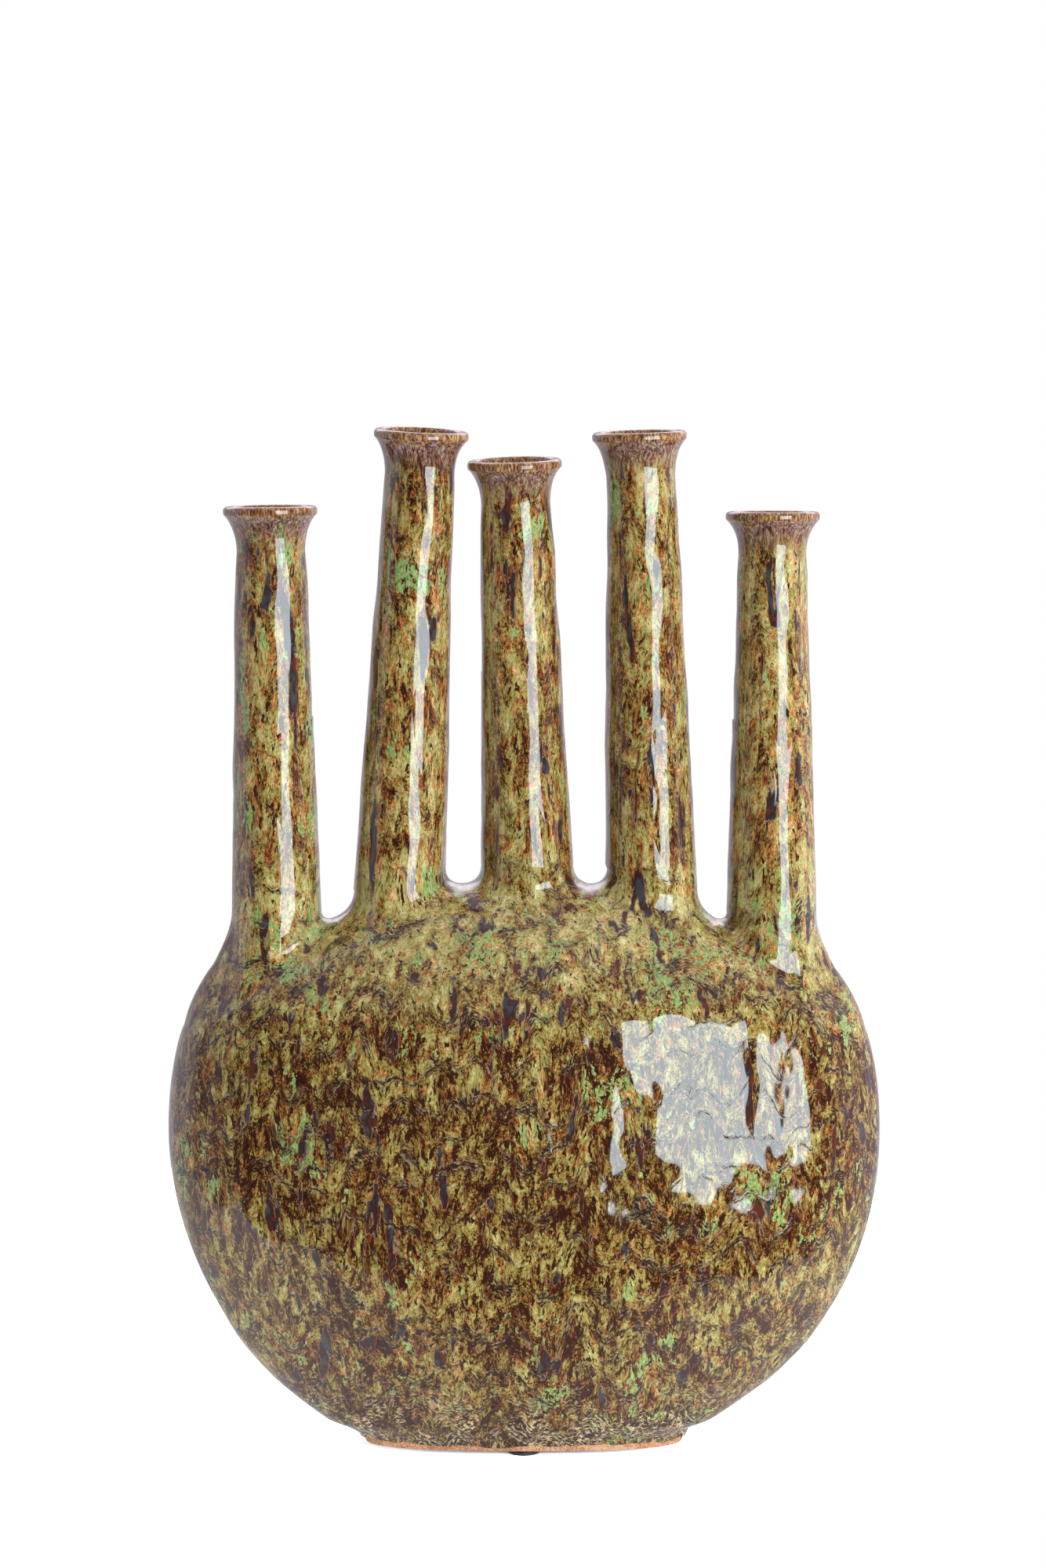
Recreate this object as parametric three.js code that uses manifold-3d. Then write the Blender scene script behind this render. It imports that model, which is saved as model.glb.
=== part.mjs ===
// Flattened round vase of glazed terracotta with five tall bud necks on its top.
// Millimetres, +Z up. The front faces -Y, and the pads under the foot rest on z = 0.

import * as THREE from "three";
import { mergeVertices } from "three/addons/utils/BufferGeometryUtils.js";
import Module from "manifold-3d";

const wasm = await Module();
wasm.setup();

// Body seen from the front: a round belly, a flatter dome on top and a shoulder arc between them
const bellyRadius = 161;
const bellyHeight = 146.5; // of the belly's centre above the table
const domeRadius = 225;
const domeTop = 258.5;
const shoulderRadius = 45;
const bodyDepth = 117;
const wall = 6;

// Luted joints, left open by this much so that the pieces stay separate
const jointGap = 0.3;

// Foot and the pads under it
const padRadius = 7;
const padThickness = 2;
const padEdge = 0.6;
const footBottom = padThickness + jointGap;
const footThickness = 4.2;
const footTop = footBottom + footThickness;
const footHalfLength = 75;
const footEdge = 1.2;
const footTaper = 2; // by which the foot is shorter at its base, at each end
const footTurn = 6.5; // height over which the body draws in to the foot
const shellBottom = footTop + jointGap;
const floorInset = 18; // by which the hollow's floor is shorter than the foot, at each end
const rearPadInset = 30; // of the two rear pads from the foot's ends

// Necks: radii of a tube that narrows upwards to a throat and then opens into a flared rim
const rootRadius = 20.6;
const throatRadius = 15.4;
const rimRadius = 21.2;
const neckWall = 5;
const lipRadius = 2;
const flareHeight = 20;
const flareSwell = 0.4; // by which the flare has opened where it bends
const outerBend = 7.2; // depth below the rim at which the flare bends outside
const innerBend = 8; // and inside
const rootEdge = 1.6; // least height of the root blend above the body's surface
const rootSink = 3; // depth to which a neck runs into the body before it is cut to it
const boreReach = 24; // length of a neck hole to each side of the body's surface
const endBlendReach = 24; // of the wide blend on the outer side of the two end necks
const endBlendFill = 0.75; // 0 leaves that blend round and hollow, 1 makes it a straight slope
const sideMargin = 5; // from that blend to the body's side

// Height of each rim above the table, from the left as seen from the front
const rimHeight1 = 426.0;
const rimHeight2 = 460.4;
const rimHeight3 = 447.2;
const rimHeight4 = 459.4;
const rimHeight5 = 423.5;

// How far each neck stands to +X of its even place in the row
const drift1 = 0.5;
const drift2 = -0.3;
const drift3 = 1.7;
const drift4 = 1.9;
const drift5 = -0.1;

// The lean of each neck to +X and to the front is in degrees
const row = [
  { name: "neck_1", rimHeight: rimHeight1, drift: drift1, leanSide: -0.7, leanFront: -0.9 },
  { name: "neck_2", rimHeight: rimHeight2, drift: drift2, leanSide: 2.9, leanFront: 1.7 },
  { name: "neck_3", rimHeight: rimHeight3, drift: drift3, leanSide: -1.9, leanFront: 1.9 },
  { name: "neck_4", rimHeight: rimHeight4, drift: drift4, leanSide: -1.7, leanFront: 0.3 },
  { name: "neck_5", rimHeight: rimHeight5, drift: drift5, leanSide: 0, leanFront: -1.5 },
];
const rowHalf = bellyRadius - sideMargin - endBlendReach - rootRadius;
const pitch = (2 * rowHalf) / (row.length - 1);
const necks = row.map((neck, i) => ({ ...neck, rootX: i * pitch - rowHalf + neck.drift }));
const spacings = necks.slice(1).map((neck, i) => neck.rootX - necks[i].rootX);
const blendReach = (Math.min(...spacings) - 2 * jointGap) / 2 - rootRadius;

// Facets
const bodySides = 56;
const neckSides = 26;
const padSides = 24;

// Turns a geometry into a manifold solid.
function solid(geometry) {
  const bare = new THREE.BufferGeometry();
  bare.setAttribute("position", geometry.getAttribute("position"));
  bare.setIndex(geometry.index);
  const merged = mergeVertices(bare, 1e-4);
  return new wasm.Manifold(
    new wasm.Mesh({
      numProp: 3,
      vertProperties: merged.attributes.position.array,
      triVerts: new Uint32Array(merged.index.array),
    }),
  );
}

// Turns a manifold solid back into a geometry.
function geometryOf(form) {
  const { vertProperties, triVerts } = form.getMesh();
  const geometry = new THREE.BufferGeometry();
  geometry.setAttribute("position", new THREE.BufferAttribute(vertProperties, 3));
  geometry.setIndex(new THREE.BufferAttribute(triVerts, 1));
  geometry.computeVertexNormals();
  return geometry;
}

// A box given by its lowest and highest corner.
function boxBetween(low, high) {
  const size = high.clone().sub(low);
  const middle = high.clone().add(low).multiplyScalar(0.5);
  return solid(new THREE.BoxGeometry(size.x, size.y, size.z).translate(middle.x, middle.y, middle.z));
}

// The three arcs of the body's outline on its +X side, moved out by grow.
function bodyArcs(grow) {
  const domeHeight = domeTop - domeRadius; // of the dome arc's centre
  const toBelly = bellyRadius - shoulderRadius;
  const toDome = domeRadius - shoulderRadius;
  const between = bellyHeight - domeHeight;
  const above = (toDome ** 2 - toBelly ** 2 - between ** 2) / (2 * between);
  const shoulder = new THREE.Vector2(Math.sqrt(toBelly ** 2 - above ** 2), bellyHeight + above);
  const bellyEnd = Math.atan2(shoulder.y - bellyHeight, shoulder.x);
  const domeStart = Math.atan2(shoulder.y - domeHeight, shoulder.x);
  return {
    belly: { x: 0, z: bellyHeight, radius: bellyRadius + grow, end: bellyEnd },
    shoulder: { x: shoulder.x, z: shoulder.y, radius: shoulderRadius + grow },
    dome: { x: 0, z: domeHeight, radius: domeRadius + grow, start: domeStart },
  };
}

// By how much a round form with the body's outline is pressed flat in Y, when moved out by grow.
function flattening(grow) {
  return (bodyDepth / 2 + grow) / (bellyRadius + grow);
}

// Height of the body's surface above a point of the plan, when moved out by grow.
function bodySurface(x, y, grow = 0) {
  const { belly, shoulder, dome } = bodyArcs(grow);
  const reach = Math.hypot(x, y / flattening(grow));
  const onDome = dome.radius * Math.cos(dome.start);
  const onShoulder = belly.radius * Math.cos(belly.end);
  const arc = reach < onDome ? dome : reach < onShoulder ? shoulder : belly;
  return arc.z + Math.sqrt(arc.radius ** 2 - (reach - arc.x) ** 2);
}

// The body's whole form down to a flat cut, moved out by grow: a lathe form pressed flat in Y.
function bodyForm(grow, cut) {
  const { belly, shoulder, dome } = bodyArcs(grow);
  const turnHeight = shellBottom + footTurn - grow;
  const turnAngle = Math.asin((turnHeight - bellyHeight) / belly.radius);
  const footLength = footHalfLength + (floorInset / wall) * grow;
  const outline = [new THREE.Vector2(0, cut), new THREE.Vector2(footLength, cut)];
  const addArc = (arc, from, to, steps) => {
    for (let i = 0; i <= steps; i++) {
      const angle = from + ((to - from) * i) / steps;
      outline.push(
        new THREE.Vector2(arc.x + arc.radius * Math.cos(angle), arc.z + arc.radius * Math.sin(angle)),
      );
    }
  };
  addArc(belly, turnAngle, belly.end, 14);
  outline.pop(); // the shoulder starts on the belly's last point
  addArc(shoulder, belly.end, dome.start, 3);
  outline.pop();
  addArc(dome, dome.start, Math.PI / 2, 8);
  outline.at(-1).x = 0;
  const form = new THREE.LatheGeometry(outline, bodySides);
  form.rotateX(Math.PI / 2);
  form.scale(1, flattening(grow), 1);
  return solid(form);
}

// The frame of a neck: its own +Z runs up its axis from the ridge of the body.
function neckFrame({ rootX, leanSide, leanFront }) {
  const lean = new THREE.Euler(
    THREE.MathUtils.degToRad(leanFront),
    THREE.MathUtils.degToRad(leanSide),
    0,
  );
  return new THREE.Matrix4()
    .makeRotationFromEuler(lean)
    .setPosition(rootX, 0, bodySurface(rootX, 0));
}

// How far up the neck's axis a point at that radius and angle meets the body, moved out by grow.
function heightOnBody(frame, radius, angle, grow = 0) {
  const x = radius * Math.cos(angle);
  const y = radius * Math.sin(angle);
  let height = 0;
  for (let i = 0; i < 6; i++) {
    const point = new THREE.Vector3(x, y, height).applyMatrix4(frame);
    height += bodySurface(point.x, point.y, grow) - point.z;
  }
  return height;
}

// How far from a neck's axis, at an angle, a margin inside the body's plan outline lies.
function planReach(rootX, angle) {
  const side = bellyRadius - sideMargin;
  const across = new THREE.Vector2(Math.cos(angle), Math.sin(angle) / flattening(0));
  const along = rootX * across.x;
  const squared = across.lengthSq();
  return (Math.sqrt(along ** 2 + squared * (side ** 2 - rootX ** 2)) - along) / squared;
}

// The blend from the body up into a neck's wall, in the half plane at an angle.
function rootBlend(neck, frame, flareStart, angle) {
  const isEnd = neck === necks[0] || neck === necks.at(-1);
  const outward = isEnd ? Math.max(0, Math.cos(angle) * Math.sign(neck.rootX)) ** 2 : 0;
  const wanted = THREE.MathUtils.lerp(blendReach, endBlendReach, outward);
  const edge = Math.min(rootRadius + wanted, planReach(neck.rootX, angle));
  const reach = edge - rootRadius;
  const rootHeight = heightOnBody(frame, rootRadius, angle, rootEdge);
  const top = rootHeight + reach; // it rises as far as it reaches out
  const taper = THREE.MathUtils.clamp(top / flareStart, 0, 1);
  const from = new THREE.Vector2(edge, heightOnBody(frame, edge, angle, rootEdge));
  const to = new THREE.Vector2(THREE.MathUtils.lerp(rootRadius, throatRadius, taper), top);
  const slope = from.clone().lerp(to, 0.5);
  const corner = new THREE.Vector2(rootRadius, rootHeight).lerp(slope, endBlendFill * outward);
  const points = new THREE.QuadraticBezierCurve(from, corner, to).getPoints(5);
  for (const p of points) p.y = Math.max(p.y, heightOnBody(frame, p.x, angle, rootEdge));
  return points;
}

// The points that run round a neck's wall in the half plane at an angle, as radius and height.
function neckSection(neck, frame, length, angle) {
  const flareStart = length - flareHeight;
  const lipHeight = length - lipRadius;
  const boreRadius = rootRadius - neckWall;
  const boreThroat = throatRadius - neckWall;
  const lipCentre = rimRadius - lipRadius;
  const outerFlare = new THREE.QuadraticBezierCurve(
    new THREE.Vector2(throatRadius, flareStart),
    new THREE.Vector2(throatRadius + flareSwell, length - outerBend),
    new THREE.Vector2(rimRadius, lipHeight),
  );
  const lip = new THREE.EllipseCurve(lipCentre, lipHeight, lipRadius, lipRadius, 0, Math.PI);
  const innerFlare = new THREE.QuadraticBezierCurve(
    new THREE.Vector2(lipCentre - lipRadius, lipHeight),
    new THREE.Vector2(boreThroat + flareSwell, length - innerBend),
    new THREE.Vector2(boreThroat, flareStart),
  );
  const blend = rootBlend(neck, frame, flareStart, angle);
  const edge = blend[0].x;
  return [
    ...outerFlare.getPoints(5),
    ...lip.getPoints(5).slice(1),
    ...innerFlare.getPoints(4).slice(1),
    new THREE.Vector2(boreRadius, heightOnBody(frame, boreRadius, angle) - rootSink),
    new THREE.Vector2(edge, heightOnBody(frame, edge, angle) - rootSink),
    ...blend,
  ];
}

// A closed tube of wall: the section taken at each angle round the axis, joined to the next one.
function ringForm(sectionAt, sides) {
  const sections = Array.from({ length: sides }, (_, i) => sectionAt((2 * Math.PI * i) / sides));
  const count = sections[0].length;
  const positions = sections.flatMap((section, i) => {
    const angle = (2 * Math.PI * i) / sides;
    return section.flatMap((p) => [p.x * Math.cos(angle), p.x * Math.sin(angle), p.y]);
  });
  const triangles = [];
  for (let i = 0; i < sides; i++)
    for (let j = 0; j < count; j++) {
      const a = i * count + j;
      const b = i * count + ((j + 1) % count);
      const c = ((i + 1) % sides) * count + j;
      const d = ((i + 1) % sides) * count + ((j + 1) % count);
      triangles.push(a, c, d, a, d, b);
    }
  const form = new THREE.BufferGeometry();
  form.setAttribute("position", new THREE.Float32BufferAttribute(positions, 3));
  form.setIndex(triangles);
  return form;
}

// One neck, its underside cut to sit on the body.
function neckForm(neck) {
  const frame = neckFrame(neck);
  const root = bodySurface(neck.rootX, 0);
  const length = (neck.rimHeight - root) / Math.cos(THREE.MathUtils.degToRad(neck.leanSide));
  const tube = ringForm((angle) => neckSection(neck, frame, length, angle), neckSides);
  return solid(tube.applyMatrix4(frame)).subtract(bodyForm(jointGap, shellBottom));
}

// The hole through the body's wall under a neck.
function boreForm(neck) {
  const radius = rootRadius - neckWall;
  const bore = new THREE.CylinderGeometry(radius, radius, 2 * boreReach, neckSides);
  return solid(bore.rotateX(Math.PI / 2).applyMatrix4(neckFrame(neck)));
}

// Both pressed halves of the body with their neck holes, cut apart at the side seam.
function shellForms() {
  const holes = necks.map(boreForm);
  const hollow = holes.reduce((form, hole) => form.add(hole), bodyForm(-wall, shellBottom - wall));
  const shell = bodyForm(0, shellBottom).subtract(hollow);
  const far = new THREE.Vector3(bellyRadius, bodyDepth, domeTop).addScalar(wall);
  const near = new THREE.Vector3(-far.x, -far.y, 0);
  const front = boxBetween(near, new THREE.Vector3(far.x, -jointGap / 2, far.z));
  const back = boxBetween(new THREE.Vector3(near.x, jointGap / 2, 0), far);
  return { front: shell.intersect(front), back: shell.intersect(back) };
}

const baseHalfLength = footHalfLength - footTaper;
const baseHalfDepth = baseHalfLength * flattening(0);

// The oval slab that closes the body below.
function footForm() {
  const section = [
    new THREE.Vector2(0, footBottom),
    new THREE.Vector2(baseHalfLength - footEdge, footBottom),
    new THREE.Vector2(baseHalfLength, footBottom + footEdge),
    new THREE.Vector2(footHalfLength, footTop),
    new THREE.Vector2(0, footTop),
  ];
  return new THREE.LatheGeometry(section, bodySides).rotateX(Math.PI / 2).scale(1, flattening(0), 1);
}

// A round pad with softened edges.
function padForm() {
  const section = [
    new THREE.Vector2(0, 0),
    new THREE.Vector2(padRadius - padEdge, 0),
    new THREE.Vector2(padRadius, padEdge),
    new THREE.Vector2(padRadius, padThickness - padEdge / 2),
    new THREE.Vector2(padRadius - padEdge / 2, padThickness),
    new THREE.Vector2(0, padThickness),
  ];
  return new THREE.LatheGeometry(section, padSides).rotateX(Math.PI / 2);
}

const vase = new THREE.Group();
vase.name = "five_neck_vase";

function addPiece(name, geometry, color, roughness) {
  const piece = new THREE.Mesh(geometry, new THREE.MeshStandardMaterial({ color, roughness }));
  piece.name = name;
  vase.add(piece);
  return piece;
}

const glaze = 0x7d7340;
const clay = 0xd39a6c;
const rubber = 0x2e3636;

const shells = shellForms();
addPiece("front_shell", geometryOf(shells.front), glaze, 0.15);
addPiece("back_shell", geometryOf(shells.back), glaze, 0.15);
addPiece("foot_slab", footForm(), clay, 0.85);
for (const neck of necks) addPiece(neck.name, geometryOf(neckForm(neck)), glaze, 0.15);

// One pad stands at the front of the foot and two stand behind it towards its ends
const padInset = padRadius + footEdge;
const rearX = baseHalfLength - rearPadInset;
const rearY = baseHalfDepth * Math.sqrt(1 - (rearX / baseHalfLength) ** 2) - padInset;
addPiece("pad_front", padForm(), rubber, 0.6).position.set(0, padInset - baseHalfDepth, 0);
addPiece("pad_rear_left", padForm(), rubber, 0.6).position.set(-rearX, rearY, 0);
addPiece("pad_rear_right", padForm(), rubber, 0.6).position.set(rearX, rearY, 0);

export default vase;
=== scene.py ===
import math

import bpy
import numpy as np
from mathutils import Matrix, Vector, noise


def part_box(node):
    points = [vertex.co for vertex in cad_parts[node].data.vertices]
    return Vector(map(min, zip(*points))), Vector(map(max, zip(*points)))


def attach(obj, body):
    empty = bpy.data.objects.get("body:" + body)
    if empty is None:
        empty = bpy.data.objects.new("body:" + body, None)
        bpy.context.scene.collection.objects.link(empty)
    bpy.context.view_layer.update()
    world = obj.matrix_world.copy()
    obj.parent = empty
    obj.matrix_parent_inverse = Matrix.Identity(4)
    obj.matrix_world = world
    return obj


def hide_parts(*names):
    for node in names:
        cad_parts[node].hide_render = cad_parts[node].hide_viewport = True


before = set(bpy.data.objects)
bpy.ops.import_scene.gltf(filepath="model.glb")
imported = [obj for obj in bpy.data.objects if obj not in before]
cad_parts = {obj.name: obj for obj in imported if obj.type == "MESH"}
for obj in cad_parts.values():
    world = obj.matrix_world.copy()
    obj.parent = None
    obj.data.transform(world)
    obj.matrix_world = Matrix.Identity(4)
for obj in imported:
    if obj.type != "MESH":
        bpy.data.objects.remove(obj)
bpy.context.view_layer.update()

# Camera
# A long portrait lens stands 2.27 m in front of the vase, a little above its rims, and looks
# slightly down, so that the rims show as thin ovals.
mm = 0.001
camera_place = (-0.35 * mm, -2266 * mm, 542 * mm)
camera_dip = 6.06  # degrees below level
lens_length = 116.64
bpy.ops.object.select_all(action="DESELECT")
bpy.ops.object.camera_add(location=camera_place, rotation=(math.radians(90 - camera_dip), 0, 0))
camera = bpy.context.object
camera.name = "front_camera"
camera.data.sensor_fit = "VERTICAL"
camera.data.sensor_height = 36
camera.data.lens = lens_length
bpy.context.scene.camera = camera


# Glazed body
# Red clay, pressed in two halves that are luted at the side seam and pressed flat, under a
# thick runny glaze. Its hollow opens upwards into the necks, and the glaze stops above the foot.
belly_radius = 160.6 * mm
belly_height = 146.5 * mm
dome_radius = 224.6 * mm
dome_centre = 33.5 * mm
shoulder_radius = 44.6 * mm
body_half_depth = 58.1 * mm
body_wall = 6 * mm
foot_turn_height = 13.3 * mm
foot_fullness = 2.7  # the power of the foot's oval, where 2 is a plain one
belly_steps = 24
shoulder_steps = 4
dome_steps = 19
body_steps = 440
hollow_steps = 96
hollow_floor_height = 13 * mm
hollow_floor_reach = 60 * mm
lower_right_bulge = 1.9 * mm
lower_left_bulge = 1.5 * mm
right_ankle_draw = 4.0 * mm

# Lumps and runs of the thick glaze: their heights in mm on the body, and what the necks add
lump_size = (22 * mm, 22 * mm, 38 * mm)
lump_height = 0.34
lump_height_on_necks = 0.5
run_size = (9 * mm, 9 * mm, 20 * mm)
run_height = 0.12
run_height_on_necks = 0.45

# The rolled lower edge of the glaze as (radius, height), from the middle of the foot outwards
glaze_edge = [
    (0, 8.2 * mm),
    (62 * mm, 8.2 * mm),
    (73.3 * mm, 8.0 * mm),
    (73.2 * mm, 6.4 * mm),
    (73.3 * mm, 5.6 * mm),
    (73.7 * mm, 5.4 * mm),
    (74.3 * mm, 5.8 * mm),
    (74.8 * mm, 7.0 * mm),
    (78 * mm, 8.6 * mm),
    (82 * mm, 10.2 * mm),
    (86 * mm, 11.8 * mm),
]


def turned(name, outline, steps):
    """Draws an outline of (radius, height) points and spins it round the upright axis."""
    bpy.ops.object.select_all(action="DESELECT")
    bpy.ops.mesh.primitive_plane_add(size=1 * mm)
    piece = bpy.context.object
    piece.name = piece.data.name = name
    bpy.ops.object.mode_set(mode="EDIT")
    bpy.ops.mesh.merge(type="CENTER")
    bpy.ops.transform.translate(value=(outline[0][0], 0, outline[0][1]))
    for (r0, z0), (r1, z1) in zip(outline, outline[1:]):
        bpy.ops.mesh.extrude_region_move(TRANSFORM_OT_translate={"value": (r1 - r0, 0, z1 - z0)})
    bpy.ops.mesh.select_all(action="SELECT")
    bpy.ops.mesh.spin(steps=steps, angle=2 * math.pi, center=(0, 0, 0), axis=(0, 0, 1))
    bpy.ops.mesh.select_all(action="SELECT")
    bpy.ops.mesh.remove_doubles(threshold=0.02 * mm)
    bpy.ops.mesh.normals_make_consistent(inside=False)
    bpy.ops.object.mode_set(mode="OBJECT")
    return piece


def points_of(piece, kind="co"):
    """The places of a mesh's points, or with kind "normal" their normals, as an array."""
    values = np.zeros(len(piece.data.vertices) * 3)
    piece.data.vertices.foreach_get(kind, values)
    return values.reshape(-1, 3)


def set_points(piece, places):
    piece.data.vertices.foreach_set("co", np.ascontiguousarray(places).ravel())
    piece.data.update()


def arc(centre_r, centre_z, radius, start, end, steps):
    """Points of (radius, height) along an arc of the outline, without its first one."""
    angles = [start + (end - start) * i / steps for i in range(1, steps + 1)]
    return [(centre_r + radius * math.cos(a), centre_z + radius * math.sin(a)) for a in angles]


def body_arcs(grow):
    """The belly, shoulder and dome arcs that meet smoothly, moved out by grow."""
    to_belly = belly_radius - shoulder_radius
    to_dome = dome_radius - shoulder_radius
    between = belly_height - dome_centre
    above = (to_dome**2 - to_belly**2 - between**2) / (2 * between)
    shoulder_r = math.sqrt(to_belly**2 - above**2)
    shoulder_z = belly_height + above
    belly_end = math.atan2(above, shoulder_r)
    dome_start = math.atan2(shoulder_z - dome_centre, shoulder_r)
    return shoulder_r, shoulder_z, belly_end, dome_start, belly_radius + grow, dome_radius + grow


def body_outline(grow, start, turn_height, fine):
    """The body's outline from its foot to its top, moved out by grow, with fine times its steps."""
    shoulder_r, shoulder_z, belly_end, dome_start, belly, dome = body_arcs(grow)
    shoulder = shoulder_radius + grow
    turn = math.asin((turn_height - belly_height) / belly)
    outline = start + [(belly * math.cos(turn), turn_height)]
    outline += arc(0, belly_height, belly, turn, belly_end, belly_steps * fine)
    outline += arc(shoulder_r, shoulder_z, shoulder, belly_end, dome_start, shoulder_steps * fine)
    outline += arc(0, dome_centre, dome, dome_start, math.pi / 2, dome_steps * fine)
    return outline


def flattening(grow):
    """The body's depth as a share of its width, for a wall moved out by grow."""
    return (body_half_depth + grow) / (belly_radius + grow)


def fuller(around):
    """How far the foot's oval with its fuller corners reaches past a plain one, at each angle."""
    sides = np.abs(np.cos(around)) ** foot_fullness + np.abs(np.sin(around)) ** foot_fullness
    return sides ** (-1 / foot_fullness)


def body_height(x, y):
    """Height of the body's surface over a point of the plan."""
    shoulder_r, shoulder_z, belly_end, dome_start, belly, dome = body_arcs(0)
    reach = np.hypot(x, y / flattening(0))
    on_dome = dome_centre + np.sqrt(np.maximum(dome**2 - reach**2, 0))
    on_shoulder = shoulder_z + np.sqrt(np.maximum(shoulder_radius**2 - (reach - shoulder_r) ** 2, 0))
    on_belly = belly_height + np.sqrt(np.maximum(belly**2 - reach**2, 0))
    height = np.where(reach < dome * math.cos(dome_start), on_dome, on_shoulder)
    return np.where(reach < belly * math.cos(belly_end), height, on_belly)


def blended(value, low, high):
    """0 below low, 1 above high, and a smooth step between them."""
    share = np.clip((value - low) / (high - low), 0, 1)
    return share * share * (3 - 2 * share)


def humped(value, start, full, fade, end):
    """0 below start, 1 from full to fade, and 0 again above end."""
    return blended(value, start, full) * (1 - blended(value, fade, end))


def noise_at(places, size, seed):
    """Smooth noise from -1 to 1 with lumps of that (x, y, z) size, each seed from another spot."""
    shift = Vector((seed * 3.7, seed * 5.3, seed * 7.1))
    scaled = places / np.array(size)
    return np.array([noise.noise(Vector(p) + shift) for p in scaled])


def add_relief(piece, share):
    """Raises the lumps and runs of thick glaze along the normals, in full where share is 1."""
    places = points_of(piece)
    normals = points_of(piece, "normal")
    on_necks = blended(places[:, 2], 245 * mm, 275 * mm)
    lumps = noise_at(places, lump_size, 1) * (lump_height + lump_height_on_necks * on_necks)
    runs = noise_at(places, run_size, 2) * (run_height + run_height_on_necks * on_necks)
    set_points(piece, places + normals * ((lumps + runs) * share * mm)[:, None])


def select_only(piece):
    """Makes a piece the only selected one, and the active one."""
    bpy.ops.object.select_all(action="DESELECT")
    piece.select_set(True)
    bpy.context.view_layer.objects.active = piece


def smooth(piece, angle):
    """Shades a piece smooth, apart from edges sharper than the angle in degrees."""
    select_only(piece)
    bpy.ops.object.shade_smooth_by_angle(angle=math.radians(angle))


def cut(piece, tool, operation):
    """Joins or cuts a piece with a tool piece, which is used up."""
    modifier = piece.modifiers.new("cut", "BOOLEAN")
    modifier.operation = operation
    modifier.solver = "EXACT"
    modifier.object = tool
    select_only(piece)
    bpy.ops.object.modifier_apply(modifier=modifier.name)
    bpy.data.objects.remove(tool)


body = turned("glazed_body", body_outline(0, glaze_edge, foot_turn_height, fine=4), body_steps)
places = points_of(body)
places[:, 1] *= flattening(0)

# The foot is a fuller oval than the belly, and the glaze's edge runs in waves along it, long
# ones of 1.5 mm and short ones of 0.7 mm
around = np.arctan2(places[:, 1] / flattening(0), places[:, 0])
reach = np.hypot(places[:, 0], places[:, 1] / flattening(0))
near_foot = 1 - blended(places[:, 2], 8 * mm, 46 * mm)
places[:, :2] *= (1 + (fuller(around) - 1) * near_foot)[:, None]
turning = np.stack([np.cos(around), np.sin(around), np.zeros(len(around))], axis=1)
long_waves = noise_at(turning, (0.22, 0.22, 1), 5) * 1.5
short_waves = noise_at(turning, (0.07, 0.07, 1), 6) * 0.7
mean_drop = 0.3
at_edge = (1 - blended(places[:, 2], 6 * mm, 11 * mm)) * blended(reach, 70 * mm, 73 * mm)
places[:, 2] += (long_waves + short_waves - mean_drop) * at_edge * mm

# The pressing left both lower sides fuller, and the right one pulls in sharply above the foot
along, up = places[:, 0], places[:, 2]
lower_right = humped(up, 22 * mm, 50 * mm, 75 * mm, 160 * mm) * blended(along, 20 * mm, 120 * mm)
right_ankle = humped(up, 6.5 * mm, 9 * mm, 12 * mm, 34 * mm) * blended(along, 45 * mm, 80 * mm)
lower_left = humped(up, 14 * mm, 34 * mm, 42 * mm, 70 * mm) * blended(-along, 60 * mm, 110 * mm)
places[:, 0] = (
    along
    + lower_right_bulge * lower_right
    - right_ankle_draw * right_ankle
    - lower_left_bulge * lower_left
)
set_points(body, places)
add_relief(body, blended(places[:, 2], 6 * mm, 16 * mm))

hollow_floor = [(0, hollow_floor_height), (hollow_floor_reach, hollow_floor_height)]
hollow_outline = body_outline(-body_wall, hollow_floor, foot_turn_height + body_wall, fine=1)
hollow = turned("hollow", hollow_outline, hollow_steps)
places = points_of(hollow)
places[:, 1] *= flattening(-body_wall)
set_points(hollow, places)


# Necks
# Five tall thrown tubes that narrow upwards and open into flared rims, luted over holes in
# the dome and blended into it by hand, so that each leans and stands a little differently.
root_radius = 20.6 * mm
throat_radius = 15.4 * mm
rim_radius = 21.1 * mm
neck_wall = 5 * mm
lip_radius = 1.95 * mm
lip_drop = 1.6 * mm  # the straight outer face of the lip, which draws in by lip_draw
lip_draw = 0.1 * mm
flare_height = 20 * mm
flare_bow = 0.4 * mm
inner_flare_bend = 8 * mm  # depth below the rim at which each side of the flare bends most
outer_flare_bend = 8.4 * mm
neck_steps = 112
leeway = 0.1 * mm  # in picking points by their place

# Each neck is first turned down to blend_band below its root, and the band then becomes the
# smear of clay over the joint: an elbow, and on the end necks a long slope on the outer side
blend_band = 10 * mm
inner_root_depth = 14 * mm
underside_depth = 4 * mm
edge_sink = 0.12 * mm
slope_step = 0.5 * mm
end_blend_reach = 22 * mm
end_elbow = 8 * mm
end_slope = 1.95
end_bulge = 2 * mm
bore_gap = 0.3 * mm
bore_tool_length = 60 * mm

# Name, place along the ridge and height of the rim in mm, leans to +X and to the front in
# degrees, and how many mm its root spreads over the body
neck_list = [
    ("neck_1", -110.9, 426.0, -0.7, -0.9, 5.5),
    ("neck_2", -56.0, 460.3, 2.9, 1.7, 9),
    ("neck_3", 1.6, 447.2, -1.75, 1.9, 8.5),
    ("neck_4", 57.6, 459.4, -1.7, 0.3, 10),
    ("neck_5", 111.3, 423.5, 0.0, -1.5, 5.5),
]


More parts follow.
